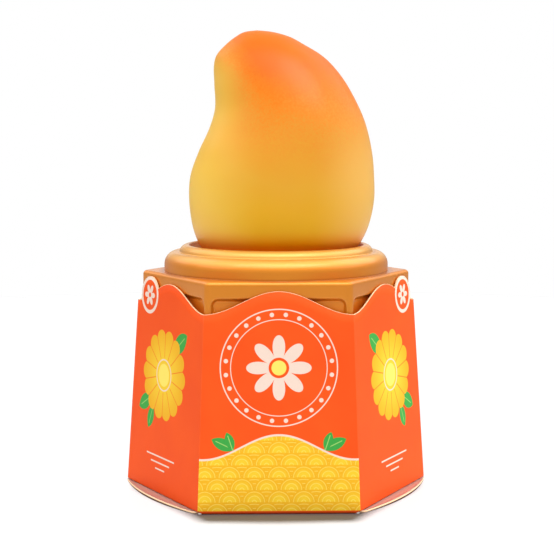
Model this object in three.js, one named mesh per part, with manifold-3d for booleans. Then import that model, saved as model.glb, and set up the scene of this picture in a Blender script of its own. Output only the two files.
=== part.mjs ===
// A mango-shaped ice cream that stands in the round recess of a formed gold tray, inside an
// open hexagonal carton with a wavy rim. Millimetres, +Z up. The origin is the middle of the
// carton's base on the table, the front wall faces -Y, and the mango's beak leans towards -X.

import * as THREE from 'three';
import { mergeVertices } from 'three/addons/utils/BufferGeometryUtils.js';
import Module from 'manifold-3d';

const wasm = await Module();
wasm.setup();

const sides = 6;
const cos30 = Math.cos(Math.PI / sides);
const gap = 0.3;                    // air between pieces that rest on each other

// Carton: one folded card
const card = {
  thickness: 0.45,
  baseRadius: 46.2,                 // centre to corner fold, at the table
  dipRadius: 42.35,                 // centre to corner fold, at the rim's low points
  dipHeight: 56.5,
  crestHeight: 63.0,                // the rim's high point, in the middle of each wall
  wallFoot: 0.8,                    // the walls' cut lower edge, just over the base flap
  rimSteps: 14,
};
const badge = { radius: 5.6, offset: 13.0, height: 58.7, steps: 18 };   // round tab of the rim
const badgeWalls = { left: 5, right: 1 };                               // walls beside the front
const flap = { bulge: 3.8, edgeSteps: 8, hingeHalf: 22.4, foldRadius: 0.8, hingeTop: 1.4 };

// Tray: one sheet of formed gold plastic
const tray = {
  wall: 0.6,
  radius: 41.0,                     // centre to corner, across the flange
  cornerRadius: 1.6,
  edgeRound: 0.8,
  flangeHeight: 65.8,
  skirtFoot: 61.1,                  // the panels in the walls are sunk below this line
  panelHalf: 19.4,
  panelDepth: 1.8,
  panelRound: 2.4,
};
const collar = {
  foot: 34.3,                       // the lower step's radius where it leaves the flange
  shoulder: { radius: 34.1, height: 67.6, inner: 30.5, top: 71.5 },
  bead: { radius: 1.35, centre: 27.85, height: 72.2 },
  cup: { mouth: 26.5, floor: 24.4, floorHeight: 68.5, fillet: 1.2 },
  steps: 56,
};

// Mango: half outlines seen from the front, as [x, height over its flat base]
const mangoLeft = [
  [-17.0, 0.0], [-21.4, 2.2], [-23.8, 5.4], [-25.6, 10.9], [-26.5, 18.3], [-26.0, 25.5],
  [-23.5, 32.8], [-20.3, 39.8], [-18.5, 46.0], [-18.7, 53.0], [-18.8, 58.4], [-17.9, 61.8],
  [-15.2, 64.9], [-12.0, 67.1], [-9.0, 68.7], [-5.8, 69.1],
];
const mangoRight = [
  [18.6, 0.0], [23.3, 2.2], [25.9, 5.4], [28.4, 10.9], [29.9, 18.3], [29.8, 25.5],
  [29.1, 32.8], [27.6, 39.8], [25.2, 46.0], [21.4, 53.0], [17.3, 58.4], [13.6, 61.8],
  [8.9, 64.9], [4.0, 67.1], [-1.6, 68.7], [-5.8, 69.1],
];
const belly = { height: 18.3, share: 0.88, footShare: 0.94 };   // widest level, depth over width
const mangoMesh = { around: 42, rings: 34 };

const apothem = (radius) => radius * cos30;

// Closed solid through rings of equal point count, from the lowest ring up, with flat ends
function loft(rings) {
  const count = rings[0].length;
  const last = rings.length - 1;
  const centre = (ring) => ring.reduce((sum, p) => sum.add(p), new THREE.Vector3())
    .divideScalar(ring.length);
  const points = [...rings.flat(), centre(rings[0]), centre(rings[last])];
  const foot = points.length - 2;
  const crown = points.length - 1;
  const index = [];
  for (let j = 0; j < count; j++) {
    const k = (j + 1) % count;
    index.push(foot, k, j, crown, last * count + j, last * count + k);
    for (let i = 0; i < last; i++) {
      const a = i * count;
      const b = a + count;
      index.push(a + j, a + k, b + k, a + j, b + k, b + j);
    }
  }
  return geometryOf(points, index);
}

function geometryOf(points, index) {
  const geometry = new THREE.BufferGeometry();
  geometry.setFromPoints(points);
  geometry.setIndex(index);
  return geometry;
}

function solidOf(geometry) {
  const bare = geometry.clone();
  bare.deleteAttribute('normal');
  bare.deleteAttribute('uv');
  const merged = mergeVertices(bare, 1e-5);
  return new wasm.Manifold(new wasm.Mesh({
    numProp: 3,
    vertProperties: merged.attributes.position.array,
    triVerts: new Uint32Array(merged.index.array),
  }));
}

function geometryOfSolid(solid) {
  const mesh = solid.getMesh();
  const geometry = new THREE.BufferGeometry();
  geometry.setAttribute('position', new THREE.BufferAttribute(mesh.vertProperties, 3));
  geometry.setIndex(new THREE.BufferAttribute(mesh.triVerts, 1));
  return geometry;
}

function latheSolid(profile) {
  const points = profile.map(([r, z]) => new THREE.Vector2(r, z));
  const geometry = new THREE.LatheGeometry(points, collar.steps);
  geometry.rotateX(Math.PI / 2);
  return solidOf(geometry);
}

function arcPoints(cx, cy, radius, from, to, steps) {
  return Array.from({ length: steps + 1 }, (_, i) => {
    const angle = from + ((to - from) * i) / steps;
    return [cx + radius * Math.cos(angle), cy + radius * Math.sin(angle)];
  });
}

// Hexagon with rounded corners, flat side to the front
function hexagonRing(radius, cornerRadius, z) {
  const centre = radius - cornerRadius / cos30;
  const ring = [];
  for (let k = 0; k < sides; k++) {
    const corner = (k * Math.PI) / 3;
    const start = corner - Math.PI / sides;
    const end = corner + Math.PI / sides;
    const cx = centre * Math.cos(corner);
    const cy = centre * Math.sin(corner);
    ring.push(...arcPoints(cx, cy, cornerRadius, start, end, 3));
  }
  return ring.map(([x, y]) => new THREE.Vector3(x, y, z));
}

const hexagonSolid = (levels) => solidOf(loft(
  levels.map(([z, radius]) => hexagonRing(radius, tray.cornerRadius, z)),
));

// Places a wall's own drawing: s along the wall, z up, turned to that wall
const wallTurn = (wall) => -Math.PI / 2 + (wall * Math.PI) / 3;

const cornerRadiusAt = (z) => card.baseRadius
  - ((card.baseRadius - card.dipRadius) * z) / card.dipHeight;

// A point of a wall's outer face, or of its inner face for inset = card thickness
function wallPoint(wall, s, z, inset) {
  const outer = cornerRadiusAt(z);
  const inner = outer - inset / cos30;
  const angle = wallTurn(wall);
  const out = apothem(inner);
  const along = (s * inner) / outer;
  const x = out * Math.cos(angle) - along * Math.sin(angle);
  const y = out * Math.sin(angle) + along * Math.cos(angle);
  return new THREE.Vector3(x, y, z);
}

// The rim's height: a wave with its crest in the middle of the wall
function rimHeight(s) {
  const half = card.dipRadius / 2;
  const swing = (card.crestHeight - card.dipHeight) / 2;
  return card.dipHeight + swing * (1 + Math.cos((Math.PI * s) / half));
}

function rimWave(from, to) {
  const steps = Math.ceil((card.rimSteps * Math.abs(to - from)) / card.dipRadius);
  return Array.from({ length: steps + 1 }, (_, i) => {
    const s = from + ((to - from) * i) / steps;
    return [s, rimHeight(s)];
  });
}

// The badge's arc over the wave: from where it leaves the wave near the crest to where it returns
function badgeArc(side) {
  const onBadge = (angle) => [
    side * (badge.offset + badge.radius * Math.cos(angle)),
    badge.height + badge.radius * Math.sin(angle),
  ];
  const isClear = (angle) => {
    const [s, z] = onBadge(angle);
    return z > rimHeight(s);
  };
  const step = Math.PI / 180;
  let from = Math.PI / 2;
  while (isClear(from + step)) from += step;
  let to = Math.PI / 2;
  while (isClear(to - step)) to -= step;
  return Array.from({ length: badge.steps + 1 }, (_, i) => (
    onBadge(from + ((to - from) * i) / badge.steps)
  ));
}

// The wall's upper outline from its left fold to its right fold, in [s, z]
function rimOutline(wall) {
  const half = card.dipRadius / 2;
  if (wall !== badgeWalls.left && wall !== badgeWalls.right) return rimWave(-half, half);
  const arc = badgeArc(1);
  const inner = rimWave(-half, arc[0][0]).slice(0, -1);
  const outer = rimWave(arc[arc.length - 1][0], half).slice(1);
  const outline = [...inner, ...arc, ...outer];
  if (wall === badgeWalls.right) return outline;
  return outline.map(([s, z]) => [-s, z]).reverse();
}

// Six walls as one closed ring of card: outer and inner faces, cut rim and cut foot
function sleeveSolid() {
  const points = [];
  const index = [];
  const half = cornerRadiusAt(card.wallFoot) / 2;
  for (let wall = 0; wall < sides; wall++) {
    const outline = [[-half, card.wallFoot], [half, card.wallFoot], ...rimOutline(wall).reverse()];
    const count = outline.length;
    const outer = points.length;
    const inner = outer + count;
    for (const inset of [0, card.thickness]) {
      points.push(...outline.map(([s, z]) => wallPoint(wall, s, z, inset)));
    }
    const contour = outline.map(([s, z]) => new THREE.Vector2(s, z));
    for (const [a, b, c] of THREE.ShapeUtils.triangulateShape(contour, [])) {
      index.push(outer + a, outer + b, outer + c, inner + a, inner + c, inner + b);
    }
    for (let i = 0; i < count; i++) {
      const next = (i + 1) % count;
      const isFold = i === 1 || next === 0;
      if (isFold) continue;
      index.push(outer + i, inner + i, inner + next, outer + i, inner + next, outer + next);
    }
  }
  return solidOf(geometryOf(points, index));
}

// Base flap: straight at the front fold and at the back, bowed out along the other four sides
function flapOutline() {
  const outline = [];
  for (let wall = 0; wall < sides; wall++) {
    const bulge = wall % 3 === 0 ? 0 : flap.bulge;
    const steps = bulge ? flap.edgeSteps : 1;
    for (let i = 0; i < steps; i++) {
      const t = (2 * i) / steps - 1;
      const out = apothem(card.baseRadius) + bulge * (1 - t * t);
      const along = (t * card.baseRadius) / 2;
      const angle = wallTurn(wall);
      outline.push([
        out * Math.cos(angle) - along * Math.sin(angle),
        out * Math.sin(angle) + along * Math.cos(angle),
      ]);
    }
  }
  return outline;
}

function prism(outline, z0, z1) {
  const at = (z) => outline.map(([x, y]) => new THREE.Vector3(x, y, z));
  return solidOf(loft([at(z0), at(z1)]));
}

function flapSolid() {
  const cut = flap.foldRadius - apothem(card.baseRadius);
  const outline = flapOutline().map(([x, y]) => [x, Math.max(y, cut)]);
  return prism(outline, 0, card.thickness);
}

// The rounded fold that joins the flap to the front wall
function hingeSolid() {
  const face = -apothem(card.baseRadius);
  const lean = apothem(cornerRadiusAt(0)) - apothem(cornerRadiusAt(flap.hingeTop));
  const cy = face + flap.foldRadius;
  const innerRadius = flap.foldRadius - card.thickness;
  const overlap = card.thickness;
  const section = [
    [cy + overlap, 0],
    ...arcPoints(cy, flap.foldRadius, flap.foldRadius, -Math.PI / 2, -Math.PI, 5),
    [face + lean, flap.hingeTop],
    [face + lean + card.thickness, flap.hingeTop],
    ...arcPoints(cy, flap.foldRadius, innerRadius, -Math.PI, -Math.PI / 2, 3),
    [cy + overlap, card.thickness],
  ];
  const at = (x) => section.map(([y, z]) => new THREE.Vector3(x, y, z));
  return solidOf(loft([at(flap.hingeHalf), at(-flap.hingeHalf)]));
}

function cartonGeometry() {
  return geometryOfSolid(sleeveSolid().add(flapSolid()).add(hingeSolid()));
}

// The tray's round top from the cup's floor out to the flange, in [r, z]
function collarProfile() {
  const { cup, bead, shoulder } = collar;
  const beadArc = arcPoints(bead.centre, bead.height, bead.radius, Math.PI, 0, 6);
  const rise = shoulder.top - shoulder.height;
  const run = shoulder.radius - shoulder.inner;
  const roundOver = arcPoints(0, 0, 1, Math.PI / 2, 0, 5)
    .map(([c, s]) => [shoulder.inner + run * c, shoulder.height + rise * s]);
  return [
    [cup.floor - cup.fillet, cup.floorHeight],
    [cup.floor, cup.floorHeight + cup.fillet * 0.3],
    [cup.floor + cup.fillet * 0.7, cup.floorHeight + cup.fillet],
    ...beadArc,
    ...roundOver,
    [collar.foot, tray.flangeHeight],
  ];
}

// The same profile one sheet thickness below the surface
function sunkProfile(profile, depth) {
  return profile.map(([r, z], i) => {
    const [r0, z0] = profile[Math.max(i - 1, 0)];
    const [r1, z1] = profile[Math.min(i + 1, profile.length - 1)];
    const length = Math.hypot(r1 - r0, z1 - z0);
    return [r + (depth * (z1 - z0)) / length, z - (depth * (r1 - r0)) / length];
  });
}

function collarSolid(profile, low) {
  const [, floorHeight] = profile[0];
  const [rim] = profile[profile.length - 1];
  return latheSolid([[0, low], [rim, low], ...profile.slice().reverse(), [0, floorHeight]]);
}

// A sunk panel of the tray's walls: open at the foot, rounded at its upper corners
function panelSolid(wall) {
  const r = tray.panelRound;
  const w = tray.panelHalf;
  const top = tray.skirtFoot;
  const outline = [
    [-w, -gap],
    [w, -gap],
    ...arcPoints(w - r, top - r, r, 0, Math.PI / 2, 4),
    ...arcPoints(r - w, top - r, r, Math.PI / 2, Math.PI, 4),
  ];
  const back = apothem(tray.radius) - tray.panelDepth;
  const front = apothem(tray.radius) + tray.panelDepth;
  const at = (out) => outline.map(([s, z]) => new THREE.Vector3(out, s, z));
  const geometry = loft([at(back), at(front)]);
  geometry.rotateZ(wallTurn(wall));
  return solidOf(geometry);
}

function trayGeometry() {
  const foot = card.thickness + gap;
  const top = tray.flangeHeight;
  const round = tray.edgeRound;
  const block = hexagonSolid([
    [foot, tray.radius],
    [top - round, tray.radius],
    [top - round * 0.3, tray.radius - round * 0.3],
    [top, tray.radius - round],
  ]);
  const wall = tray.wall / cos30;
  const wide = tray.radius - wall;
  const narrow = wide - tray.panelDepth / cos30;
  const hollow = hexagonSolid([
    [-gap, narrow],
    [tray.skirtFoot + tray.wall / 2, narrow],
    [tray.skirtFoot + tray.wall, wide],
    [top - tray.wall, wide],
  ]);
  const profile = collarProfile();
  const below = top - 3 * tray.wall;
  let shell = block.add(collarSolid(profile, below));
  for (let side = 0; side < sides; side++) shell = shell.subtract(panelSolid(side));
  const cavity = hollow.add(collarSolid(sunkProfile(profile, tray.wall), below - tray.wall));
  return geometryOfSolid(shell.subtract(cavity));
}

// Smooth curve through the outline's points, at t from 0 to 1
function outlineCurve(outline) {
  const points = outline.map(([x, z]) => new THREE.Vector3(x, 0, z));
  return new THREE.CatmullRomCurve3(points, false, 'catmullrom', 0.5);
}

// Half depth from front to back: under the belly a share of the half width, over it an ellipse
function mangoHalfDepth(height, halfWidth) {
  const [, crownHeight] = mangoRight[mangoRight.length - 1];
  const bellyHalf = (mangoRight[4][0] - mangoLeft[4][0]) / 2;
  if (height < belly.height) {
    const t = height / belly.height;
    return halfWidth * (belly.footShare + (belly.share - belly.footShare) * t);
  }
  const rise = (height - belly.height) / (crownHeight - belly.height);
  return bellyHalf * belly.share * Math.sqrt(Math.max(1 - rise * rise, 0));
}

// Elliptical rings between the two outlines, closed on the flat base and at the crown
function mangoGeometry() {
  const left = outlineCurve(mangoLeft);
  const right = outlineCurve(mangoRight);
  const rings = [];
  for (let i = 0; i < mangoMesh.rings; i++) {
    const t = i / mangoMesh.rings;
    const a = left.getPoint(t);
    const b = right.getPoint(t);
    const middle = a.clone().add(b).multiplyScalar(0.5);
    const reach = b.clone().sub(a).multiplyScalar(0.5);
    const depth = mangoHalfDepth(middle.z, reach.length());
    rings.push(Array.from({ length: mangoMesh.around }, (_, j) => {
      const angle = (2 * Math.PI * j) / mangoMesh.around;
      const point = middle.clone().addScaledVector(reach, Math.cos(angle));
      return point.add(new THREE.Vector3(0, depth * Math.sin(angle), 0));
    }));
  }
  return loft(rings);
}

function mesh(name, geometry, finish) {
  const smooth = geometry.index ? geometry : mergeVertices(geometry);
  smooth.computeVertexNormals();
  const piece = new THREE.Mesh(smooth, new THREE.MeshStandardMaterial(finish));
  piece.name = name;
  return piece;
}

const finishes = {
  mango: { color: 0xf5b04a, roughness: 0.6, metalness: 0.0 },
  gold: { color: 0xe09830, roughness: 0.3, metalness: 0.8 },
  card: { color: 0xff5c28, roughness: 0.45, metalness: 0.0 },
};

const iceCream = new THREE.Group();
const mango = mesh('mango', mangoGeometry(), finishes.mango);
mango.position.z = collar.cup.floorHeight + gap;
iceCream.add(mango);
iceCream.add(mesh('gold_tray', trayGeometry(), finishes.gold));
iceCream.add(mesh('carton', cartonGeometry(), finishes.card));

export default iceCream;
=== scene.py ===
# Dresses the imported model: a mango-shaped ice cream in a formed gold tray and a printed card carton.
from math import atan2, cos, hypot, pi, radians, sin, sqrt

import bmesh
import bpy
from mathutils import Euler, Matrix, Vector, noise


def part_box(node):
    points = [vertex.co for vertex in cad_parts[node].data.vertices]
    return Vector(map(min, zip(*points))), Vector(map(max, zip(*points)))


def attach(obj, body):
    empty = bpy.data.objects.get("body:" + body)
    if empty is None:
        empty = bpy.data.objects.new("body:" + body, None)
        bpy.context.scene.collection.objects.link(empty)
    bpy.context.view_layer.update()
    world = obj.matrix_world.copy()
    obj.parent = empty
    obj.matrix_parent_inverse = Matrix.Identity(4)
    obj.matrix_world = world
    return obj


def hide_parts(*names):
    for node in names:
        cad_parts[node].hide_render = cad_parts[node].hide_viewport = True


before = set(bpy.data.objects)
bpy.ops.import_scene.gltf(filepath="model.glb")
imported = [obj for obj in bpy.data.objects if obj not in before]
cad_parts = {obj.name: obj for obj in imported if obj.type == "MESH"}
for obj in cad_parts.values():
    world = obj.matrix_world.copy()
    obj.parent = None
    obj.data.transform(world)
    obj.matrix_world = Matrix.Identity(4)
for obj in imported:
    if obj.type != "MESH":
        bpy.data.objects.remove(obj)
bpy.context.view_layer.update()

mm = 0.001           # sizes below are in millimetres, Blender's are in metres
weld = 1e-6          # points closer than this, in metres, are one point
cos30 = cos(pi / 6)


# Node wiring, shared by the materials and the Geometry Nodes tree

class Wire:
    def __init__(self, tree, socket=None):
        self.tree = tree
        self.socket = socket

    def node(self, kind, settings=None, inputs=None, out=0):
        made = self.tree.nodes.new(kind)
        for name, value in (settings or {}).items():
            if name == "stops":
                fillRamp(made.color_ramp, value)
            else:
                setattr(made, name, value)
        for name, value in (inputs or {}).items():
            socket = made.inputs[name]
            if isinstance(value, Wire):
                self.tree.links.new(value.socket, socket)
            else:
                socket.default_value = value
        return Wire(self.tree, made.outputs[out])

    def maths(self, operation, *values, clamp=False):
        settings = {"operation": operation, "use_clamp": clamp}
        return self.node("ShaderNodeMath", settings, dict(enumerate(values)))

    def __add__(self, other):
        return self.maths("ADD", self, other)

    def __radd__(self, other):
        return self.maths("ADD", other, self)

    def __sub__(self, other):
        return self.maths("SUBTRACT", self, other)

    def __rsub__(self, other):
        return self.maths("SUBTRACT", other, self)

    def __mul__(self, other):
        return self.maths("MULTIPLY", self, other)

    def __rmul__(self, other):
        return self.maths("MULTIPLY", other, self)

    def __truediv__(self, other):
        return self.maths("DIVIDE", self, other)

    def __rtruediv__(self, other):
        return self.maths("DIVIDE", other, self)

    def __pow__(self, other):
        return self.maths("POWER", self, other)

    def __abs__(self):
        return self.maths("ABSOLUTE", self)

    def __gt__(self, other):
        return self.maths("GREATER_THAN", self, other)

    def __lt__(self, other):
        return self.maths("LESS_THAN", self, other)

    def called(self, name):
        return self.maths(name, self)

    def clamped(self):
        return self.maths("ADD", self, 0, clamp=True)

    def atLeast(self, other):
        return self.maths("MAXIMUM", self, other)

    def atMost(self, other):
        return self.maths("MINIMUM", self, other)

    def equals(self, other):
        return self.maths("COMPARE", self, other, 0.5)

    def angleOver(self, run):
        # the angle of a place that lies this far up and so far along
        return self.maths("ARCTAN2", self, run)

    def ease(self, low, high):
        # 0 up to low, 1 from high on, and smooth between
        ranges = {"From Min": low, "From Max": high, "To Min": 0, "To Max": 1}
        settings = {"interpolation_type": "SMOOTHSTEP"}
        return self.node("ShaderNodeMapRange", settings, {"Value": self, **ranges})

    def fade(self, low, high):
        return 1 - self.ease(low, high)

    def tint(self, colour, share):
        settings = {"data_type": "RGBA"}
        return self.node("ShaderNodeMix", settings, {0: share, 6: self, 7: asColour(colour)}, out=2)

    def ramp(self, stops):
        return self.node("ShaderNodeValToRGB", {"stops": stops}, {0: self})


def fillRamp(ramp, stops):
    while len(ramp.elements) < len(stops):
        ramp.elements.new(1)
    for element, (place, colour) in zip(ramp.elements, stops):
        element.position = place
        element.color = asColour(colour)


def asColour(colour):
    # a hex code goes through the sRGB curve; a wire or a colour in light values stays as it is
    if not isinstance(colour, str):
        return colour
    channels = [int(colour[i:i + 2], 16) / 255 for i in (0, 2, 4)]
    linear = [c / 12.92 if c <= 0.04045 else ((c + 0.055) / 1.055) ** 2.4 for c in channels]
    return (*linear, 1)


def distanceOf(x, y):
    return (x * x + y * y).called("SQRT")


def wallPlace(x, y):
    # the tray and the carton have six walls: the wall's number, with the front 0 and the wall
    # to its left -1, and the place along the wall
    wall = ((y.angleOver(x) + pi / 2) / (pi / 3)).called("ROUND")
    angle = wall * (pi / 3)
    along = x * angle.called("COSINE") + y * angle.called("SINE")
    return wall, along


def newMaterial(name, **constants):
    material = bpy.data.materials.new(name)
    material.use_nodes = True
    tree = material.node_tree
    shader = tree.nodes["Principled BSDF"]
    for socket, value in constants.items():
        shader.inputs[socket.replace("_", " ")].default_value = value
    return material, Wire(tree), shader


def feed(shader, socket, wire):
    wire.tree.links.new(wire.socket, shader.inputs[socket])


def objectPlace(start):
    # the place in metres for textures, and its x, y and z in millimetres
    place = start.node("ShaderNodeTexCoord", out=3)
    return place, [start.node("ShaderNodeSeparateXYZ", {}, {0: place}, out=i) * (1 / mm) for i in range(3)]


def cloud(place, scale, detail):
    return place.node("ShaderNodeTexNoise", {}, {"Vector": place, "Scale": scale, "Detail": detail})


def grainBump(place, scale, strength, distance, detail=2):
    grain = cloud(place, scale, detail)
    return place.node("ShaderNodeBump", {}, {"Strength": strength, "Distance": distance, "Height": grain})


# Mesh helpers

def meshObject(name, bm, materials):
    mesh = bpy.data.meshes.new(name)
    bm.normal_update()
    bm.to_mesh(mesh)
    bm.free()
    mesh.shade_smooth()
    for material in materials:
        mesh.materials.append(material)
    piece = bpy.data.objects.new(name, mesh)
    bpy.context.scene.collection.objects.link(piece)
    return piece


def bridge(bm, lower, upper):
    for i in range(len(lower)):
        k = (i + 1) % len(lower)
        bm.faces.new((lower[i], lower[k], upper[k], upper[i]))


def capRing(bm, ring, centre, upwards):
    tip = bm.verts.new(centre)
    for i in range(len(ring)):
        pair = (ring[i], ring[(i + 1) % len(ring)])
        bm.faces.new((tip, *pair) if upwards else (tip, *reversed(pair)))


def newMesh(piece):
    # the mesh that a piece's modifiers give
    ready = piece.evaluated_get(bpy.context.evaluated_depsgraph_get())
    return bpy.data.meshes.new_from_object(ready)


def applied(piece):
    mesh = newMesh(piece)
    piece.modifiers.clear()
    piece.data = mesh
    return piece


def arc(cx, cy, rx, ry, start, end, steps):
    turns = [start + (end - start) * i / steps for i in range(steps + 1)]
    return [(cx + rx * cos(a), cy + ry * sin(a)) for a in turns]


# Mango: rings between a left and a right outline seen from the front, in millimetres

mango = {
    # (x, height) from the foot to the crown
    "left": [
        (-17.0, 0.0), (-21.4, 2.2), (-23.8, 5.4), (-25.6, 10.9), (-26.5, 18.3), (-26.0, 25.5),
        (-23.5, 32.8), (-20.3, 39.8), (-18.5, 46.0), (-18.7, 53.0), (-18.8, 58.4), (-17.9, 61.8),
        (-15.1, 64.9), (-12.2, 67.2), (-9.6, 68.6), (-5.8, 69.1),
    ],
    "right": [
        (18.6, 0.0), (23.3, 2.2), (25.9, 5.4), (28.4, 10.9), (29.9, 18.3), (29.8, 25.5),
        (29.1, 32.8), (27.6, 39.8), (25.2, 46.0), (21.4, 53.0), (17.3, 58.4), (13.6, 61.8),
        (8.4, 64.9), (4.1, 67.1), (-0.9, 68.75), (-5.8, 69.1),
    ],
    "bellyPoint": 4,            # the widest pair of points, counted from 0
    "depthShare": 0.88,         # depth at the belly, as a share of the width
    "footDepthShare": 0.94,
    "rings": 170,
    "crowding": 1.15,           # above 1, the rings lie closer together towards the crown
    "around": 180,
    "unevenness": 0.10,
    "unevenSize": 11,
    "unevenFrom": 6,            # the foot stays even, and the skin is fully uneven from this height on
}


def curvePoint(points, t):
    # a smooth curve through the points, t from 0 to 1
    last = len(points) - 1
    place = t * last
    i = min(int(place), last - 1)
    w = place - i
    b, c = Vector(points[i]), Vector(points[i + 1])
    a = Vector(points[i - 1]) if i else b * 2 - c
    d = Vector(points[i + 2]) if i < last - 1 else c * 2 - b
    into, out = (c - a) / 2, (d - b) / 2
    return b + into * w + (3 * (c - b) - 2 * into - out) * w ** 2 + (into + out - 2 * (c - b)) * w ** 3


def mangoHalfDepth(height, halfWidth):
    # a share of the width up to the belly, and from there to the crown an elliptical arc
    leftX, belly = mango["left"][mango["bellyPoint"]]
    rightX, _ = mango["right"][mango["bellyPoint"]]
    _, crown = mango["right"][-1]
    share, footShare = mango["depthShare"], mango["footDepthShare"]
    if height < belly:
        return halfWidth * (footShare + (share - footShare) * height / belly)
    rise = (height - belly) / (crown - belly)
    return (rightX - leftX) / 2 * share * sqrt(max(1 - rise * rise, 0))


def buildMango(floorHeight, material):
    bm = bmesh.new()
    rings = []
    for i in range(mango["rings"]):
        t = 1 - (1 - i / mango["rings"]) ** mango["crowding"]
        (leftX, height), (rightX, _) = curvePoint(mango["left"], t), curvePoint(mango["right"], t)
        middle, reach = (leftX + rightX) / 2, (rightX - leftX) / 2
        depth = mangoHalfDepth(height, reach)
        ring = []
        for j in range(mango["around"]):
            turn = 2 * pi * j / mango["around"]
            place = Vector((middle + reach * cos(turn), depth * sin(turn), height))
            swell = noise.noise(place / mango["unevenSize"]) * mango["unevenness"]
            place += Vector((cos(turn), sin(turn), 0)) * (swell * min(height / mango["unevenFrom"], 1))
            ring.append(bm.verts.new((place + Vector((0, 0, floorHeight))) * mm))
        rings.append(ring)
    for lower, upper in zip(rings, rings[1:]):
        bridge(bm, lower, upper)
    crownX, crownHeight = mango["right"][-1]
    capRing(bm, rings[0], (0, 0, floorHeight * mm), upwards=False)
    capRing(bm, rings[-1], Vector((crownX, 0, crownHeight + floorHeight)) * mm, upwards=True)
    return meshObject("mangoIce", bm, [material])


mangoFinish = {
    # the sprayed colours, at shares of the way up
    "spray": [
        (0.0, "D89600"), (0.1, "DFAA00"), (0.36, "E2A632"),
        (0.6, "E6942C"), (0.78, "EE7E0C"), (0.9, "E66E00"),
    ],
    "sprayTop": 64, "sprayFoot": 8, "sprayDrift": 0.1,
    "driftScale": 55, "wander": 3,
    # droplets show where the spray thins out
    "droplets": 0.26, "dropletScale": 1500, "dropletsFrom": (0.38, 0.6), "dropletsTo": (0.75, 0.95),
    # towards the left the spray starts higher up, and highest at the neck
    "leftSpan": 19, "leftMost": 22, "leftRise": 14,
    "neckRise": 26, "neckRiseFrom": (36, 50), "neckRiseTo": (54, 66), "crownDrop": 0.6,
    # tints over the spray: tone, strength and the places where each starts and ends
    "patch": {"tone": "DE6400", "share": 0.5, "x": -4, "height": 60, "around": (1, 10)},
    "flank": {"tone": "F4CC66", "share": 0.65, "across": (-25, -3), "up": (20, 44)},
    "neck": {"tone": "F4C85C", "share": 0.7, "across": (-22, -8), "from": (30, 44), "to": (54, 63)},
    # painted light: the lower right flank is lighter, as if lit from the right
    "right": {"tone": "F6C26A", "share": 0.65, "across": (9, 28), "up": (26, 50)},
    # painted shade: the foot is deeper amber where the tray's ring shades it and reflects its gold onto it
    "foot": {"tone": "EE6C00", "share": 0.9, "up": (2, 11)},
    "roughness": 0.33, "dropletRoughness": 0.08,
    "grain": (2200, 0.10, 0.00008),     # scale, strength and depth in metres
}


def mangoCoating(floorHeight):
    look = mangoFinish
    material, start, shader = newMaterial(
        "mangoCoating", Subsurface_Weight=0.18, Subsurface_Radius=(1.0, 0.45, 0.15),
        Subsurface_Scale=0.004, Specular_IOR_Level=0.16,
    )
    place, (x, _, z) = objectPlace(start)
    height = z - floorHeight
    droplets = cloud(place, look["dropletScale"], detail=1.5)
    drift = cloud(place, look["driftScale"], detail=2) - 0.5
    wander = drift * look["wander"]

    leftward = (wander - x).atLeast(0).atMost(look["leftMost"]) / look["leftSpan"]
    neckRise = height.ease(*look["neckRiseFrom"]) * look["neckRise"]
    neckRise = neckRise * (1 - height.ease(*look["neckRiseTo"]) * look["crownDrop"])
    lowered = height - leftward * leftward * (look["leftRise"] + neckRise)
    spray = lowered.atLeast(height.atMost(look["sprayFoot"])) / look["sprayTop"] + drift * look["sprayDrift"]
    edge = spray.ease(*look["dropletsFrom"]) * spray.fade(*look["dropletsTo"])
    colour = (spray + (droplets - 0.5) * edge * look["droplets"]).ramp(look["spray"])

    patch, flank, neck = look["patch"], look["flank"], look["neck"]
    right, foot = look["right"], look["foot"]
    fromPatch = distanceOf(x - patch["x"], height - patch["height"])
    onFlank = (x + wander).fade(*flank["across"]) * height.fade(*flank["up"])
    onNeck = (x + wander).fade(*neck["across"]) * height.ease(*neck["from"]) * height.fade(*neck["to"])
    rimLitRight = x.ease(*right["across"]) * height.fade(*right["up"])
    colour = colour.tint(patch["tone"], fromPatch.fade(*patch["around"]) * patch["share"])
    colour = colour.tint(flank["tone"], onFlank * flank["share"])
    colour = colour.tint(neck["tone"], onNeck * neck["share"])
    # painted rim light on the lower right flank
    colour = colour.tint(right["tone"], rimLitRight * right["share"])
    # painted shade and a painted gold reflection at the foot, under the tray's ring
    colour = colour.tint(foot["tone"], height.fade(*foot["up"]) * foot["share"])
    feed(shader, "Base Color", colour)
    feed(shader, "Roughness", look["roughness"] + droplets * look["dropletRoughness"])
    feed(shader, "Normal", grainBump(place, *look["grain"]))
    return material


# Tray: one formed sheet, as rings from the cup's floor out over the collar and down the walls

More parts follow.
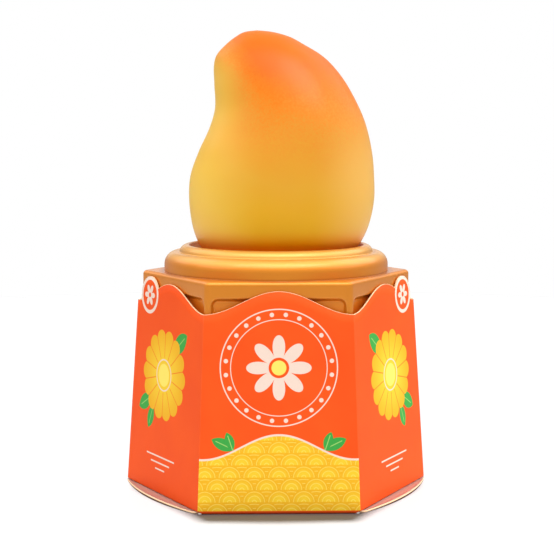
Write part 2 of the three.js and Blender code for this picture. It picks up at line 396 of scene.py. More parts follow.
tray = {
    "radius": 41.0,
    "cornerRadius": 2.3,
    "cornerShrink": 0.6,        # how much a corner's radius shrinks with each millimetre inward
    "flangeHeight": 65.6,
    "flangeCorner": 1.2,        # corner radius at the edge of the flange's flat top
    "flangeRings": (0.3, 0.65),     # shares of the way from the collar to the edge
    "edgeRound": 1.2,
    "edgeLevels": (64.2, 63.2),
    "foot": 0.75,               # the walls end this far above the table
    "sheet": 0.5,
    "skirtFoot": 61.1,
    "panelHalf": 19.4,
    "panelDepth": 1.0,
    "panelRound": 2.4,
    "panelSlope": 1.2,
    "fineTop": 62.0, "fineStep": 0.2, "fineLevels": 24,             # levels over the panel's upper edge
    "coarseTop": 57.0, "coarseStep": 4.33, "coarseLevels": 12,      # levels down the plain wall
    "flatHalf": 17.0, "flatColumns": 9,                             # columns across the middle of a wall
    "cornerFrom": 17.2, "cornerStep": 0.22, "cornerColumns": 15,    # columns towards a corner
    "cupFloor": 68.5,
    "cupFloorRadius": 24.0,
    "cupRings": (3, 9, 15, 20, 22.5),
    "cupFillet": 1.2,
    "cupWall": [(25.4, 70.4), (26.1, 71.8)],
    "beadInner": 26.5,
    "beadCrown": 27.05,
    "beadOuter": 29.5,
    "beadFoot": 71.2,
    "beadTop": 73.55,
    "groove": [(29.58, 71.38), (29.75, 71.33), (30.05, 71.4)],
    "shoulderInner": 30.5,
    "shoulderTop": 71.5,
    "shoulderRadius": 34.1,
    "shoulderFoot": 67.6,
    "footFillet": 0.1,
}


def trayTurns():
    # angle of each column round the tray, from the front
    middle = [tray["flatHalf"] * i / tray["flatColumns"] for i in range(tray["flatColumns"] + 1)]
    corner = [tray["cornerFrom"] + tray["cornerStep"] * i for i in range(tray["cornerColumns"])]
    rightHalf = middle + corner
    steps = [-s for s in reversed(rightHalf[1:])] + rightHalf
    apothem = tray["radius"] * cos30
    return [atan2(s, apothem) + side * pi / 3 - pi / 2 for side in range(6) for s in steps]


def fromSideTurn(turn):
    # the turn left over, counted from the middle of the side that it points at
    return (turn + pi / 2 + pi / 6) % (pi / 3) - pi / 6


def hexagonReach(turn, radius, cornerRadius):
    # distance from the axis to a rounded hexagon with a flat side to the front
    fromSide = fromSideTurn(turn)
    centre = radius - cornerRadius / cos30
    flat = radius * cos30
    if abs(flat * sin(fromSide) / cos(fromSide)) <= centre / 2:
        return flat / cos(fromSide)
    offCorner = pi / 6 - abs(fromSide)
    return centre * cos(offCorner) + sqrt(max(cornerRadius ** 2 - (centre * sin(offCorner)) ** 2, 0))


def collarProfile():
    # (radius, height) from the middle of the cup's floor out to the foot of the collar
    size = tray
    fillet, lip, small = size["cupFillet"], size["beadCrown"] - size["beadInner"], size["footFillet"]
    fall, back = size["beadTop"] - size["beadFoot"], size["beadOuter"] - size["beadCrown"]
    run, rise = size["shoulderRadius"] - size["shoulderInner"], size["shoulderTop"] - size["shoulderFoot"]
    footX, footZ = size["shoulderRadius"] + small, size["flangeHeight"] + small
    floor = [(r, size["cupFloor"]) for r in size["cupRings"]]
    cup = arc(size["cupFloorRadius"], size["cupFloor"] + fillet, fillet, fillet, -pi / 2, -pi / 12, steps=6)
    beadIn = arc(size["beadCrown"], size["beadTop"] - lip, lip, lip, pi, pi / 2, steps=6)
    beadOut = arc(size["beadCrown"], size["beadFoot"], back, fall, pi / 2, pi / 20, steps=14)[1:]
    shoulder = arc(size["shoulderInner"], size["shoulderFoot"], run, rise, pi / 2, 0, steps=20)
    foot = arc(footX, footZ, small, small, pi, pi * 1.5, steps=6)
    return floor + cup + size["cupWall"] + beadIn + beadOut + size["groove"] + shoulder + foot


def panelSink(along, height):
    # share of the panel's depth at a place on a wall, from its distance to the panel's outline
    dx = abs(along) - (tray["panelHalf"] - tray["panelRound"])
    dz = height - (tray["skirtFoot"] - tray["panelRound"])
    outside = hypot(max(dx, 0), max(dz, 0)) + min(max(dx, dz), 0) - tray["panelRound"]
    share = min(max(-outside / tray["panelSlope"], 0), 1)
    return share * share * (3 - 2 * share)


def trayLevels():
    # (height, how far in from the outer wall) down the flange's edge and the walls
    top, small = tray["flangeHeight"], tray["edgeRound"]
    edge = [(top - small + z, small - r) for r, z in arc(0, 0, small, small, pi / 2, 0, steps=7)]
    fine = [tray["fineTop"] - tray["fineStep"] * i for i in range(tray["fineLevels"])]
    coarse = [tray["coarseTop"] - tray["coarseStep"] * i for i in range(1, tray["coarseLevels"] + 1)]
    return edge + [(z, 0) for z in (*tray["edgeLevels"], *fine, *coarse, tray["foot"])]


def flangeRing(turns, share):
    # a ring on the flange's flat top, from the collar at 0 to the edge at 1
    inner = tray["shoulderRadius"] + tray["footFillet"]
    outer = tray["radius"] - tray["edgeRound"] / cos30
    ring = []
    for a in turns:
        reach = inner + (hexagonReach(a, outer, tray["flangeCorner"]) - inner) * share
        ring.append((reach * cos(a), reach * sin(a), tray["flangeHeight"]))
    return ring


def wallRing(turns, height, inset):
    radius, corner = tray["radius"] - inset / cos30, tray["cornerRadius"] - inset * tray["cornerShrink"]
    ring = []
    for a in turns:
        reach = hexagonReach(a, radius, corner)
        fromSide = fromSideTurn(a)
        sideTurn = a - fromSide
        sink = panelSink(reach * sin(fromSide), height) * tray["panelDepth"]
        ring.append((reach * cos(a) - sink * cos(sideTurn), reach * sin(a) - sink * sin(sideTurn), height))
    return ring


def buildTray(material):
    bm = bmesh.new()
    turns = trayTurns()
    rings = [[(r * cos(a), r * sin(a), z) for a in turns] for r, z in collarProfile()]
    rings += [flangeRing(turns, share) for share in tray["flangeRings"]]
    rings += [wallRing(turns, height, inset) for height, inset in trayLevels()]
    made = [[bm.verts.new(Vector(p) * mm) for p in ring] for ring in rings]
    for outerRing, innerRing in zip(made[1:], made):
        bridge(bm, outerRing, innerRing)
    capRing(bm, made[0], (0, 0, tray["cupFloor"] * mm), upwards=True)
    piece = meshObject("goldTray", bm, [material])
    shell = piece.modifiers.new("sheet", "SOLIDIFY")
    shell.thickness = tray["sheet"] * mm
    shell.offset = -1
    return applied(piece)


trayFinish = {
    "tones": [(0.3, "DA8416"), (0.7, "E48D20")],
    "driftScale": 90, "driftShare": 0.3, "fineScale": 900,
    # paler on the collar's top, a painted highlight from light above; darker where it meets the flange,
    # painted shade in the crease; and warmer in the sunk panels, a painted reflection of the orange carton
    "crown": {"tone": "E8AC4C", "share": 0.9, "up": (68.8, 71.0)},
    "creaseShade": {
        "tone": "A85C08", "share": 0.6, "out": (34.6, 36.4), "from": (65.0, 65.3), "to": (65.7, 66.2),
    },
    "panel": {"tone": "F4921C", "share": 0.6, "out": (34.6, 35.3), "up": (61.2, 62.0)},
    "roughness": 0.5, "driftRoughness": 0.06, "fineRoughness": 0.04,
    "coat": 0.6, "driftCoat": 0.1,
    "grain": (1400, 0.05, 0.00004),
}


def goldPlastic():
    look = trayFinish
    material, start, shader = newMaterial(
        "goldPlastic", Metallic=0.8, Coat_Roughness=0.2, Specular_IOR_Level=0.4, Coat_IOR=1.5,
    )
    place, (x, y, z) = objectPlace(start)
    drift = cloud(place, look["driftScale"], detail=3)
    fine = cloud(place, look["fineScale"], detail=2)
    crown, creaseShade, panel = look["crown"], look["creaseShade"], look["panel"]
    fromAxis = distanceOf(x, y)
    _, along = wallPlace(x, y)
    outward = (fromAxis ** 2 - along ** 2).called("SQRT")
    inCreaseShade = fromAxis.fade(*creaseShade["out"]) * z.fade(*creaseShade["to"]) * z.ease(*creaseShade["from"])
    inPanelReflection = outward.fade(*panel["out"]) * z.fade(*panel["up"])
    gold = (drift * look["driftShare"] + 0.5).ramp(look["tones"])
    # painted highlight: the collar's top is paler
    gold = gold.tint(crown["tone"], z.ease(*crown["up"]) * crown["share"])
    # painted shade in the crease where the collar meets the flange
    gold = gold.tint(creaseShade["tone"], inCreaseShade * creaseShade["share"])
    # painted reflection of the orange carton in the sunk panels
    gold = gold.tint(panel["tone"], inPanelReflection * panel["share"])
    feed(shader, "Base Color", gold)
    roughness = look["roughness"] + drift * look["driftRoughness"] + fine * look["fineRoughness"]
    feed(shader, "Roughness", roughness)
    feed(shader, "Coat Weight", look["coat"] + drift * look["driftCoat"])
    feed(shader, "Normal", grainBump(place, *look["grain"]))
    return material


# Carton: six walls made by a Geometry Nodes tree, with their turned feet and the base sheet added

frontWall, rightWall, backWall, leftWall = 0, 1, 3, 5       # numbered from the front towards the right
carton = {
    "Base Radius": 46.2, "Dip Radius": 42.35, "Dip Height": 56.5, "Crest Height": 63.0,
    "Wall Foot": 1.0, "Badge Radius": 5.6, "Badge Offset": 13.0, "Badge Height": 58.7,
}
cartonMesh = {
    "Columns": 121, "Rows": 21,
    "waveShare": 0.5, "badgeShare": 0.4,        # shares of the columns up to the badge and across it
    "card": 0.45, "foldRound": 0.45, "foldSegments": 3, "foldAngle": 40,
    "flapRound": 0.7, "footGap": 0.5,
    "flapBulge": 3.8, "flapLift": 0.7, "flapShares": (0.2, 0.5, 0.8, 1.0), "flapSteps": 24,
}


def sleeveInputs(tree):
    tree.interface.new_socket("Geometry", in_out="OUTPUT", socket_type="NodeSocketGeometry")
    for name in carton:
        socket = tree.interface.new_socket(name, in_out="INPUT", socket_type="NodeSocketFloat")
        socket.default_value = carton[name] * mm
    for name in ("Columns", "Rows"):
        socket = tree.interface.new_socket(name, in_out="INPUT", socket_type="NodeSocketInt")
        socket.default_value = cartonMesh[name]
    entry = tree.nodes.new("NodeGroupInput")
    return {socket.name: Wire(tree, socket) for socket in entry.outputs if socket.name}


def sixGrids(start, size):
    # a flat grid for each wall, which keeps the wall's number
    grid = start.node("GeometryNodeMeshGrid", {}, {
        "Size X": 2, "Size Y": 1, "Vertices X": size["Columns"], "Vertices Y": size["Rows"]})
    six = start.node("GeometryNodePoints", {}, {"Count": 6})
    walls = start.node("GeometryNodeInstanceOnPoints", {}, {"Points": six, "Instance": grid})
    index = start.node("GeometryNodeInputIndex")
    walls = start.node("GeometryNodeStoreNamedAttribute", {"data_type": "INT", "domain": "INSTANCE"}, {
        "Geometry": walls, "Name": "wall", "Value": index})
    return start.node("GeometryNodeRealizeInstances", {}, {"Geometry": walls})


def badgeColumns(size, half, towardsBadge):
    # columns crowd together at the badge's edges, so that its round outline is clean
    radius, offset = size["Badge Radius"], size["Badge Offset"]
    toBadge, onBadge = cartonMesh["waveShare"], cartonMesh["badgeShare"]
    pastBadge = toBadge + onBadge
    share = (towardsBadge + 1) / 2
    waveShare = (share / toBadge).clamped()
    badgeShare = ((share - toBadge) / onBadge).clamped()
    outerShare = ((share - pastBadge) / (1 - pastBadge)).clamped()
    along = waveShare * (offset - radius + half) - half
    along = along + radius * (1 - (badgeShare * pi).called("COSINE"))
    return along + outerShare * (half - (offset + radius))


def rimHeight(size, reach, towardsBadge, hasBadge):
    # one wave along each wall, and the badge's round top where that is higher
    swing = (size["Crest Height"] - size["Dip Height"]) / 2
    wave = size["Dip Height"] + swing * (1 + (reach * pi).called("COSINE"))
    offBadge = towardsBadge - size["Badge Offset"]
    dome = (size["Badge Radius"] ** 2 - offBadge ** 2).atLeast(0).called("SQRT")
    onBadge = hasBadge * (abs(offBadge) < size["Badge Radius"] + weld)
    return wave.atLeast((size["Badge Height"] + dome) * onBadge)


def sleeveTree(material):
    tree = bpy.data.node_groups.new("cartonSleeve", "GeometryNodeTree")
    tree.is_modifier = True
    size = sleeveInputs(tree)
    start = Wire(tree)
    sheet = sixGrids(start, size)
    wall = start.node("GeometryNodeInputNamedAttribute", {"data_type": "INT"}, {"Name": "wall"})
    spot = start.node("GeometryNodeInputPosition")
    across = start.node("ShaderNodeSeparateXYZ", {}, {0: spot}, out=0)
    rise = start.node("ShaderNodeSeparateXYZ", {}, {0: spot}, out=1) + 0.5

    # reach goes from -1 to 1 along a wall
    isLeft, isRight = wall.equals(leftWall), wall.equals(rightWall)
    side, hasBadge = 1 - isLeft * 2, isLeft + isRight
    half = size["Dip Radius"] / 2
    crowded = badgeColumns(size, half, across * side) / half * side
    reach = across + hasBadge * (crowded - across)
    rim = rimHeight(size, reach, reach * half * side, hasBadge)

    lean = (size["Base Radius"] - size["Dip Radius"]) / size["Dip Height"]
    footHalf = (size["Base Radius"] - lean * size["Wall Foot"]) / 2
    height = size["Wall Foot"] + (rim - size["Wall Foot"]) * rise
    along = reach * (footHalf + (half - footHalf) * rise)
    out = (size["Base Radius"] - lean * height) * cos30
    turn = wall * (pi / 3) - pi / 2
    c, s = turn.called("COSINE"), turn.called("SINE")
    target = start.node("ShaderNodeCombineXYZ", {}, {
        0: out * c - along * s, 1: out * s + along * c, 2: height})
    sheet = start.node("GeometryNodeSetPosition", {}, {"Geometry": sheet, "Position": target})
    sheet = start.node("GeometryNodeMergeByDistance", {}, {"Geometry": sheet, "Distance": weld})
    sheet = start.node("GeometryNodeSetMaterial", {}, {"Geometry": sheet, "Material": material})
    end = tree.nodes.new("NodeGroupOutput")
    tree.links.new(sheet.socket, end.inputs["Geometry"])
    return tree


def sleeveMesh(material):
    holder = bpy.data.objects.new("sleeveHolder", bpy.data.meshes.new("sleeveHolder"))
    bpy.context.scene.collection.objects.link(holder)
    modifier = holder.modifiers.new("sleeve", "NODES")
    modifier.node_group = sleeveTree(material)
    sizes = {name: value * mm for name, value in carton.items()}
    sizes.update({name: cartonMesh[name] for name in ("Columns", "Rows")})
    for item in modifier.node_group.interface.items_tree:
        if item.in_out == "INPUT":
            modifier[item.identifier] = sizes[item.name]
    mesh = newMesh(holder)
    bpy.data.objects.remove(holder)
    return mesh


def addTurnedFoot(bm):
    # every wall turns under at its foot: the front one down to the table, the others to a gap above it
    foot, small = carton["Wall Foot"] * mm, cartonMesh["flapRound"] * mm
    apothem = carton["Base Radius"] * cos30 * mm
    frontY = -0.98 * apothem                        # only the front wall's foot lies beyond this
    frontX = 0.49 * carton["Base Radius"] * mm      # and of that foot, only the corners beyond this
    upper = [v for v in bm.verts if abs(v.co.z - foot) < weld]
    upper.sort(key=lambda v: atan2(v.co.y, v.co.x))
    places = []
    for v in upper:
        atFront = v.co.y < frontY and abs(v.co.x) < frontX
        places.append((v.co.x, v.co.y, 0 if atFront else cartonMesh["footGap"] * mm))
    for inset, drop in arc(small, 0, small, 1, pi, pi * 1.5, steps=7)[1:]:
        shrink = 1 - inset / apothem
        lower = [bm.verts.new((x * shrink, y * shrink, foot + (foot - end) * drop)) for x, y, end in places]
        bridge(bm, lower, upper)
        upper = lower


def flapPoint(bm, wall, t, share):
    # t goes from -1 to 1 along a wall, share from the wall's foot out to the bowed edge
    apothem, half = carton["Base Radius"] * cos30, carton["Base Radius"] / 2
    bow = 1 - t * t
    bulge = 0 if wall == backWall else cartonMesh["flapBulge"] * bow * share
    lift = cartonMesh["flapLift"] * bow * max(share - cartonMesh["flapShares"][0], 0) ** 2
    turn = wall * pi / 3 - pi / 2
    out, along = apothem + bulge, t * half
    x, y = out * cos(turn) - along * sin(turn), out * sin(turn) + along * cos(turn)
    frontY = 2 * cartonMesh["flapRound"] - apothem
    return bm.verts.new(Vector((x, max(y, frontY), lift)) * mm)


def addBaseSheet(bm):
    # flat where the carton stands; its bowed edges stand out past the walls and curl up a little,
    # except at the front, where the sheet ends in the fold
    steps = cartonMesh["flapSteps"]
    corners = {wall: flapPoint(bm, wall, -1, 0) for wall in range(1, 7)}
    outline = []
    for wall in range(1, 6):
        outline.append(corners[wall])
        if wall == backWall:
            continue
        rows = [[flapPoint(bm, wall, 2 * i / steps - 1, share) for i in range(1, steps)]
                for share in cartonMesh["flapShares"]]
        outline += rows[0]
        rows = [[corners[wall], *row, corners[wall + 1]] for row in rows]
        for near, far in zip(rows, rows[1:]):
            for i in range(steps):
                loop = (near[i], near[i + 1], far[i + 1], far[i])
                bm.faces.new(dict.fromkeys(loop))       # at a corner two of the four are the same
    outline.append(corners[6])
    bm.faces.new(outline[::-1])


def buildCarton(materials):
    bm = bmesh.new()
    bm.from_mesh(sleeveMesh(materials[0]))
    for face in bm.faces:
        face.material_index = 0     # the tree puts its material in a slot of its own
    addTurnedFoot(bm)
    addBaseSheet(bm)
    piece = meshObject("cartonCard", bm, materials)
    fold = piece.modifiers.new("folds", "BEVEL")
    fold.width = cartonMesh["foldRound"] * mm
    fold.segments = cartonMesh["foldSegments"]
    fold.limit_method = "ANGLE"
    fold.angle_limit = radians(cartonMesh["foldAngle"])
    board = piece.modifiers.new("board", "SOLIDIFY")
    board.thickness = cartonMesh["card"] * mm
    board.offset = -1
    board.use_even_offset = True
    board.material_offset = 1
    board.material_offset_rim = 2
    return applied(piece)


cardInk = {
    "ground": [(0.35, "EA521D"), (0.65, "EE571F")],
    "orange": "E8541F", "cream": "E8D0C0", "yellow": "EEC434", "amber": "E7A41F", "pale": "F6DC66",
    "leaf": "3F9F46", "leafLight": "9CCB6E", "board": "F8D0A4",
}
soft = 0.12     # width of a printed edge, in millimetres


def inked(depth):
    # 0 outside a printed edge and 1 inside it, from how far inside a place lies
    return (depth / soft + 0.5).clamped()


def disc(x, y, radius):
    return inked(radius - distanceOf(x, y))


def circleLine(x, y, radius, width):
    return inked(width / 2 - abs(distanceOf(x, y) - radius))


def petals(x, y, flower):
    # a flower's mask, with the distance and the angle from its middle
    distance, angle = distanceOf(x, y), y.angleOver(x)
    wave = abs((angle * (flower["petals"] / 2)).called("COSINE")) ** flower["roundness"]
    reach = flower["inner"] + (flower["outer"] - flower["inner"]) * wave
    return inked(reach - distance), distance, angle


leafPrint = {"veinHalf": 0.12, "veinEnd": 0.32}


def addLeaf(colour, x, y, centre, angle, length, width):
    # two arcs that meet in points, and the leaf's middle vein
    x, y = x - centre[0], y - centre[1]
    u, v = x * cos(angle) + y * sin(angle), y * cos(angle) - x * sin(angle)
    bend = (length ** 2 / 4 + width ** 2) / (2 * width)
    body = disc(u, v - (bend - width), bend) * disc(u, v + (bend - width), bend)
    vein = inked(leafPrint["veinHalf"] - abs(v)) * (u < length * leafPrint["veinEnd"])
    return colour.tint(cardInk["leaf"], body).tint(cardInk["leafLight"], body * vein)


frontPrint = {
    "height": 41.5,
    "outerRing": 16.5, "outerLine": 0.34, "innerRing": 13.6, "innerLine": 0.24,
    "beads": 24, "beadRadius": 0.62,
    "flower": {"petals": 8, "inner": 3.4, "outer": 9.2, "roundness": 0.8}, "petalFoot": 2.9, "heart": 2.1,
    "hillSide": 15.5, "hillTop": 22.5, "hillHalf": 21.5, "hillLine": 0.28,
    "leafX": 13.2, "leafHeight": 18.6, "leafShift": 0.42, "leafWidth": 0.24,
    "leaves": [(0.45, 7.0), (1.25, 5.4)],       # tilt and length
}
scallop = {
    "width": 7.0, "row": 3.5, "lines": 3, "lineHalf": 0.11, "lineEdge": 0.05,
    "shade": (0.3, 1.0), "shadeShare": 0.7, "lineShare": 0.55,
}


def scallops(x, y):
    # overlapping fish scales: distance from the middle of the scale that lies on top, 0 to 1
    width, row = scallop["width"], scallop["row"]
    band = (y / row).called("FLOOR")
    nearest = None
    for step in (0, 1):
        level = band - step
        shift = (level / 2).called("FRACT")
        u = ((x / width + shift).called("FRACT") - 0.5) * width
        v = y - level * row
        distance = distanceOf(u, v) / (width / 2)
        nearest = distance if nearest is None else nearest + (distance - nearest) * (nearest > 1)
    return nearest


def addFlowerRing(colour, s, up):
    shape = frontPrint
    outer, inner = shape["outerRing"], shape["innerRing"]
    colour = colour.tint(cardInk["cream"], circleLine(s, up, outer, shape["outerLine"]))
    colour = colour.tint(cardInk["cream"], circleLine(s, up, inner, shape["innerLine"]))
    # beads between the two rings
    track, beadStep = (outer + inner) / 2, 2 * pi / shape["beads"]
    fold = (up.angleOver(s) / beadStep).called("FRACT") - 0.5
    bead = disc(fold * beadStep * track, distanceOf(s, up) - track, shape["beadRadius"])
    colour = colour.tint(cardInk["cream"], bead)
    flower, distance, _ = petals(s, up, shape["flower"])
    colour = colour.tint(cardInk["cream"], flower * (distance > shape["petalFoot"]))
    return colour.tint(cardInk["pale"], disc(s, up, shape["heart"]))


def addHill(colour, s, z):
    shape = frontPrint
    swell = (1 + (s * (pi / shape["hillHalf"])).called("COSINE")) / 2
    hill = shape["hillSide"] + (shape["hillTop"] - shape["hillSide"]) * swell
    scale = scallops(s, z)
    fromLine = abs((scale * scallop["lines"]).called("FRACT") - 0.5)
    line = ((scallop["lineHalf"] - fromLine) / scallop["lineEdge"] + 0.5).clamped()
    yellow = colour.tint(cardInk["yellow"], 1)
    yellow = yellow.tint(cardInk["amber"], scale.ease(*scallop["shade"]) * scallop["shadeShare"])
    yellow = yellow.tint(cardInk["pale"], line * scallop["lineShare"])
    colour = colour.tint(yellow, inked(hill - z) * (z > carton["Wall Foot"]))
    return colour.tint(cardInk["cream"], inked(shape["hillLine"] - abs(hill - z)))


def frontDesign(colour, s, z):
    shape = frontPrint
    colour = addFlowerRing(colour, s, z - shape["height"])
    colour = addHill(colour, s, z)
    for hand in (-1, 1):
        for tilt, length in shape["leaves"]:
            shift = length * shape["leafShift"]
            centre = (hand * (shape["leafX"] + shift * cos(tilt)), shape["leafHeight"] + shift * sin(tilt))
            turn = pi / 2 - hand * (pi / 2 - tilt)
            colour = addLeaf(colour, s, z, centre, turn, length, length * shape["leafWidth"])
    return colour


sidePrint = {
    "height": 36.0, "shift": 1.5,
    "flower": {"petals": 14, "inner": 11.61, "outer": 13.5, "roundness": 0.6},
    "shade": (4, 13.5), "shadeShare": 0.8,
    "ring": 4.6, "ringLine": 0.4, "heart": 3.4,
    "petalLine": 0.14, "petalFoot": 5.2, "petalLineShare": 0.75,
    "leaves": [(2.5, 10, (-9.5, 10.5)), (-0.5, 9, (11.5, -9.5)), (-1.2, 7.5, (7.5, -13.5))],
    "leafWidth": 0.26,
    "rules": [(11.5, 9.0), (9.6, 6.0), (7.7, 3.0)],     # height and half length
    "ruleHalf": 0.22,
}


def sideDesign(colour, s, z, outward):
    shape = sidePrint
    x, y = s * outward - shape["shift"], z - shape["height"]
    for angle, length, spot in shape["leaves"]:
        colour = addLeaf(colour, x, y, spot, angle, length, length * shape["leafWidth"])
    flower, distance, angle = petals(x, y, shape["flower"])
    gold = colour.tint(cardInk["yellow"], 1)
    gold = gold.tint(cardInk["amber"], distance.ease(*shape["shade"]) * shape["shadeShare"])
    gold = gold.tint(cardInk["cream"], circleLine(x, y, shape["ring"], shape["ringLine"]))
    gold = gold.tint(cardInk["pale"], disc(x, y, shape["heart"]))
    # a line between each two petals, out from the ring
    halfCount = shape["flower"]["petals"] / 2
    fromLine = abs((angle * halfCount).called("COSINE")) * distance / halfCount
    line = inked(shape["petalLine"] - fromLine) * (distance > shape["petalFoot"])
    gold = gold.tint(cardInk["orange"], line * shape["petalLineShare"])
    colour = colour.tint(gold, flower)
    for height, halfLength in shape["rules"]:
        rule = inked(shape["ruleHalf"] - abs(z - height)) * (abs(x) < halfLength)
        colour = colour.tint(cardInk["cream"], rule)
    return colour


badgePrint = {
    "past": 1, "rim": 1.05,     # how far the cream rim goes past the cut edge and in from it
    "flower": {"petals": 6, "inner": 1.2, "outer": 3.3, "roundness": 0.9}, "petalFoot": 0.75,
}


def badgeDesign(colour, x, y):
    shape, radius = badgePrint, carton["Badge Radius"]
    colour = colour.tint(cardInk["cream"], disc(x, y, radius + shape["past"]))
    colour = colour.tint(cardInk["orange"], disc(x, y, radius - shape["rim"]))
    flower, distance, _ = petals(x, y, shape["flower"])
    return colour.tint(cardInk["cream"], flower * (distance > shape["petalFoot"]))


cardFinish = {
    "mottleScale": 70, "roughness": 0.42, "mottleRoughness": 0.12,
    "rimEdge": (0.02, 0.16), "foldEdge": (0.0, 0.25), "foldShare": 0.04,
    "grain": (1600, 0.05, 0.00006),
}


def bareEdges(s, z, badgeArea):
    # the pale board shows along the wavy rim, and faintly along the folds
    base, dip, half = carton["Base Radius"], carton["Dip Radius"], carton["Dip Radius"] / 2
    swing = (carton["Crest Height"] - carton["Dip Height"]) / 2
    rim = carton["Dip Height"] + swing * (1 + (s * (pi / half)).called("COSINE"))
    foldHalf = (base - (base - dip) / carton["Dip Height"] * z) / 2
    atRim = (rim - z).fade(*cardFinish["rimEdge"]) * (1 - badgeArea)
    atFold = (foldHalf - abs(s)).fade(*cardFinish["foldEdge"]) * cardFinish["foldShare"]
    return atRim, atFold


def printedCard():
    look = cardFinish
    material, start, shader = newMaterial("printedCard", Specular_IOR_Level=0.05)
    place, (x, y, z) = objectPlace(start)
    wall, s = wallPlace(x, y)
    outward = 1 - (wall < 0) * 2
    mottle = cloud(place, look["mottleScale"], detail=3)
    ground = mottle.ramp(cardInk["ground"])
    isMain = wall.equals(frontWall) + wall.equals(backWall)
    colour = sideDesign(ground, s, z, outward).tint(frontDesign(ground, s, z), isMain)
    badgeX, badgeY = s * outward - carton["Badge Offset"], z - carton["Badge Height"]
    badgeArea = abs(wall).equals(rightWall) * disc(badgeX, badgeY, carton["Badge Radius"])
    colour = colour.tint(badgeDesign(ground, badgeX, badgeY), badgeArea)
    for share in bareEdges(s, z, badgeArea):
        colour = colour.tint(cardInk["board"], share)
    feed(shader, "Base Color", colour)
    feed(shader, "Roughness", look["roughness"] + mottle * look["mottleRoughness"])
    feed(shader, "Normal", grainBump(place, *look["grain"]))
    return material


plainFinish = {
    # "base" is a darker pink tone low down on the base sheet: painted shade under the walls and a painted
    # reflection of their orange
    "cardInside": {"tone": "F6AE64", "base": "B9968A", "fibres": 500, "roughness": 0.18, "relief": 0.02},
    "cardEdge": {"tone": "F8D0A4", "base": "F8D0A4", "fibres": 2500, "roughness": 0.6, "relief": 0.15},
    "shade": 0.94, "shadeRoughness": 0.12, "shadedBaseUp": (2, 6),
}


def plainCard(name):
    look = plainFinish[name]
    material, start, shader = newMaterial(name, Specular_IOR_Level=0.5)
    place, (_, _, z) = objectPlace(start)
    fleck = cloud(place, look["fibres"], detail=4)
    light = asColour(look["tone"])
    dark = (*[c * plainFinish["shade"] for c in light[:3]], 1)
    tone = fleck.ramp([(0.3, dark), (0.6, light)])
    # the base sheet's darker pink is painted shade and a painted reflection of the orange walls
    feed(shader, "Base Color", tone.tint(look["base"], z.fade(*plainFinish["shadedBaseUp"])))
    feed(shader, "Roughness", look["roughness"] + fleck * plainFinish["shadeRoughness"])
    feed(shader, "Normal", grainBump(place, look["fibres"], look["relief"], distance=0.0001, detail=4))
    return material


# Studio: a pale floor, soft light and the photograph's camera

studio = {
    "cameraDistance": 421.7, "cameraHeight": 107.6, "pitch": 6.0, "yaw": 1.24, "objectShift": -0.275,
    "focalPixels": 1382.6, "framePixels": 554, "sensor": 36.0,
    # the sky's brightness, and the directions over which each part of it comes up
    "skyTop": 0.8, "skyFront": 0.36, "skyBack": 1.1,
    "backAcross": (0.9, 0.99), "backUp": (0.0, 0.12), "topUp": (0.05, 0.85),
    "floorRadius": 0.5, "floorTones": [(0.3, (0.25, 0.25, 0.252, 1)), (0.7, (0.26, 0.26, 0.26, 1))],
    # soft lights: name, degrees from the front towards the right, degrees up, spread and strength
    "lights": [
        ("farLeft", -75, 42, 46, 0.6), ("left", -28, 60, 42, 0.7), ("middle", 10, 60, 40, 0.65),
        ("right", 45, 58, 40, 0.6), ("farRight", 85, 40, 46, 0.6),
        ("rightBack", 125, 38, 40, 0.5), ("leftBack", -125, 38, 40, 0.4),
    ],
    "gleam": ("gleam", 54, 57, 34, 1.8),
    "glints": [("glintLeft", -44, 60, 14, 0.1), ("glintRight", 50, 60, 14, 0.18)],
    "wallGlow": ("wallGlow", 75, 20, 40, 1.0),
    "tableLight": ("tableLight", 180, 79, 5, 11.2),
}


def addCamera():
    yaw = radians(studio["yaw"])
    x, y = -studio["objectShift"], -studio["cameraDistance"]
    place = (x * cos(yaw) + y * sin(yaw), y * cos(yaw) - x * sin(yaw), studio["cameraHeight"])
    data = bpy.data.cameras.new("camera")
    data.sensor_width = studio["sensor"]
    data.lens = studio["focalPixels"] / studio["framePixels"] * studio["sensor"]
    data.clip_start = 0.01
    camera = bpy.data.objects.new("camera", data)
    camera.location = Vector(place) * mm
    camera.rotation_euler = Euler((radians(90 - studio["pitch"]), 0, -yaw))
    bpy.context.scene.collection.objects.link(camera)
    bpy.context.scene.camera = camera


def addSoftLight(settings, receivers):
    name, azimuth, elevation, spread, strength = settings
    data = bpy.data.lights.new(name, "SUN")
    data.angle = radians(spread)
    data.energy = strength
    lamp = bpy.data.objects.new(name, data)
    level = cos(radians(elevation))
    way = Vector((level * sin(radians(azimuth)), -level * cos(radians(azimuth)), sin(radians(elevation))))
    lamp.rotation_euler = (-way).to_track_quat("-Z", "Y").to_euler()
    bpy.context.scene.collection.objects.link(lamp)
    lamp.light_linking.receiver_collection = receivers
    return lamp


def group(name, *members):
    collection = bpy.data.collections.new(name)
    for member in members:
        collection.objects.link(member)
    return collection


def addFloor():
    material, start, shader = newMaterial("floor", Roughness=0.5, Specular_IOR_Level=0.15)
    place, _ = objectPlace(start)
    feed(shader, "Base Color", cloud(place, 3, detail=2).ramp(studio["floorTones"]))
    bm = bmesh.new()
    bmesh.ops.create_circle(bm, cap_ends=True, radius=studio["floorRadius"], segments=96)
    floor = meshObject("floor", bm, [material])
    return floor


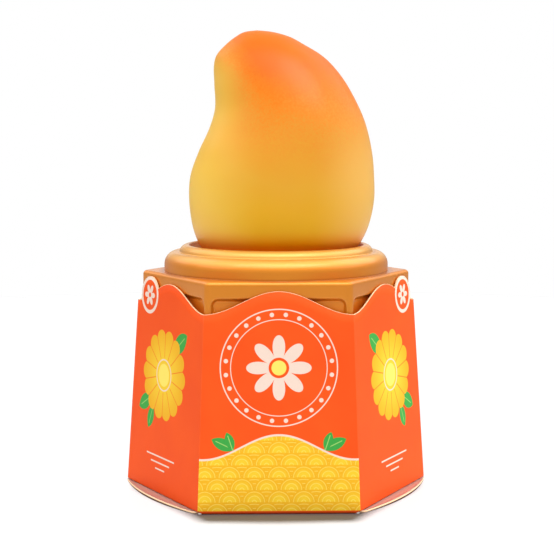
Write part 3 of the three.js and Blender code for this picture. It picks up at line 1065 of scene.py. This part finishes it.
def addWorld():
    # brighter overhead and behind the object, dimmer elsewhere; plain white where it is seen directly
    world = bpy.data.worlds.new("studio")
    world.use_nodes = True
    tree = world.node_tree
    start = Wire(tree)
    way = start.node("ShaderNodeTexCoord")
    y, z = [start.node("ShaderNodeSeparateXYZ", {}, {0: way}, out=i) for i in (1, 2)]
    behind = y.ease(*studio["backAcross"]) * z.ease(*studio["backUp"])
    horizon = studio["skyFront"] + behind * (studio["skyBack"] - studio["skyFront"])
    level = horizon + z.ease(*studio["topUp"]) * (studio["skyTop"] - horizon)
    seen = start.node("ShaderNodeLightPath")
    level = level + seen * (1 - level)
    background = tree.nodes["Background"]
    tree.links.new(level.socket, background.inputs["Strength"])
    background.inputs["Color"].default_value = (1, 1, 1, 1)
    bpy.context.scene.world = world


def addStudio(mangoPiece, trayPiece, cartonPiece, floor):
    bpy.context.scene.view_settings.view_transform = "Standard"
    addWorld()
    lit = group("litPieces", mangoPiece, trayPiece, cartonPiece)
    for settings in studio["lights"]:
        addSoftLight(settings, lit)
    # the mango's highlight comes from a light that only its gloss shows
    gleam = addSoftLight(studio["gleam"], group("gleaming", mangoPiece))
    gleam.visible_diffuse = False
    glinting = group("glinting", trayPiece)
    for settings in studio["glints"]:
        addSoftLight(settings, glinting)
    addSoftLight(studio["wallGlow"], group("walls", cartonPiece))
    # the table has a light of its own from behind, which leaves the carton's short shadow in front
    tableLight = addSoftLight(studio["tableLight"], group("table", floor))
    tableLight.light_linking.blocker_collection = group("shading", cartonPiece)


addCamera()

mangoFoot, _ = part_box("mango")
mangoFloor = mangoFoot.z / mm
mangoIce = buildMango(mangoFloor, mangoCoating(mangoFloor))
print("mango ready")
goldTray = buildTray(goldPlastic())
print("tray ready")
cartonCard = buildCarton([printedCard(), plainCard("cardInside"), plainCard("cardEdge")])
print("carton ready")
addStudio(mangoIce, goldTray, cartonCard, addFloor())
print("studio ready")

for piece, node, slot in (
    (mangoIce, "mango", "mango_coating"),
    (goldTray, "gold_tray", "gold_plastic"),
    (cartonCard, "carton", "printed_card"),
):
    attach(piece, "root")
    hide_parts(node)

print("pieces placed")
